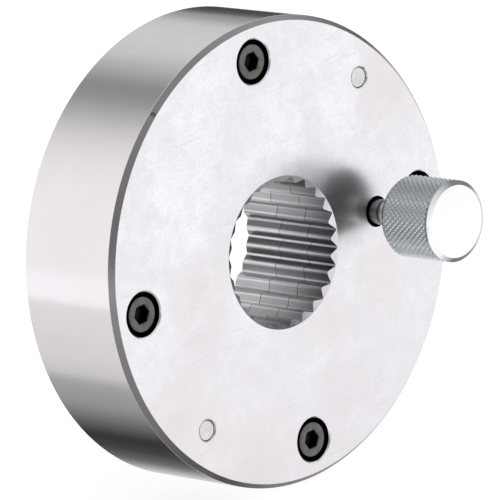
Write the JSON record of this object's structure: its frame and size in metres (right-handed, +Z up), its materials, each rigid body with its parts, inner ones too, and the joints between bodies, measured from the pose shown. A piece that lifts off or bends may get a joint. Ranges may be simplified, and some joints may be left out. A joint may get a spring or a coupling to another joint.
{
  "type": "lathe chuck",
  "caption": "Short round spline clamping chuck with a serrated through bore, a knurled locking knob on its front face and a flat rear mounting face.",
  "frame": {"origin": "centre of the rear mounting face, on the bore axis", "axes": "+Y along the bore axis out of the rear mounting face, the front face and the knob look along -Y; +X from the axis towards the knob; +Z up"},
  "size_m": [0.11, 0.0552, 0.11],
  "materials": {
    "ground_steel": "fine ground, satin",
    "hardened_steel": "ground and broached",
    "shim_brass": "rolled sheet",
    "black_steel": "black oxide",
    "pin_steel": "centreless ground",
    "stud_steel": "dark turned",
    "knob_steel": "diamond knurled, bright end"
  },
  "bodies": {
    "body": {"housing": "ground_steel", "rear_plate": "ground_steel", "front_shim": "shim_brass", "rear_shim": "shim_brass", "cap_screw_1": "black_steel", "cap_screw_2": "black_steel", "cap_screw_3": "black_steel", "cap_screw_4": "black_steel", "dowel_pin_1": "pin_steel", "dowel_pin_2": "pin_steel", "stop_pin_1": "pin_steel", "stop_pin_2": "pin_steel"},
    "disc": {"clamping_disc": "hardened_steel", "centring_spring_1": "pin_steel", "centring_spring_2": "pin_steel", "spring_plug_1": "black_steel", "spring_plug_2": "black_steel"},
    "pad": {"pressure_pad": "shim_brass"},
    "knob": {"knob": "knob_steel", "clamp_stud": "stud_steel"},
    "plunger_1": {"spring_plunger_1": "pin_steel"},
    "plunger_2": {"spring_plunger_2": "pin_steel"}
  },
  "joints": [
    {"name": "disc_swing", "type": "hinge", "parent": "body", "child": "disc", "pos_m": [0, 0, 0], "axis": [0, -1, 0], "range_deg": [-1, 1], "stiffness_Nm_per_rad": 2.7},
    {"name": "pad_advance", "type": "slide", "parent": "disc", "child": "pad", "axis": [0, -1, 0], "range_m": [0, 0.00075]},
    {"name": "knob_turn", "type": "hinge", "parent": "pad", "child": "knob", "pos_m": [0.0315, 0, 0], "axis": [0, -1, 0], "range_deg": [0, 271]},
    {"name": "plunger_1_slide", "type": "slide", "parent": "disc", "child": "plunger_1", "axis": [1, 0, 0], "range_m": [-0.00047, 0.00047], "deforming": ["centring_spring_1"]},
    {"name": "plunger_2_slide", "type": "slide", "parent": "disc", "child": "plunger_2", "axis": [1, 0, 0], "range_m": [-0.00047, 0.00047], "deforming": ["centring_spring_2"]}
  ],
  "couplings": [
    {"joint": "knob_turn", "follows": "pad_advance", "rad_per_m": 6283.2},
    {"joint": "plunger_1_slide", "follows": "disc_swing", "m_per_rad": 0.026},
    {"joint": "plunger_2_slide", "follows": "disc_swing", "m_per_rad": -0.026}
  ]
}
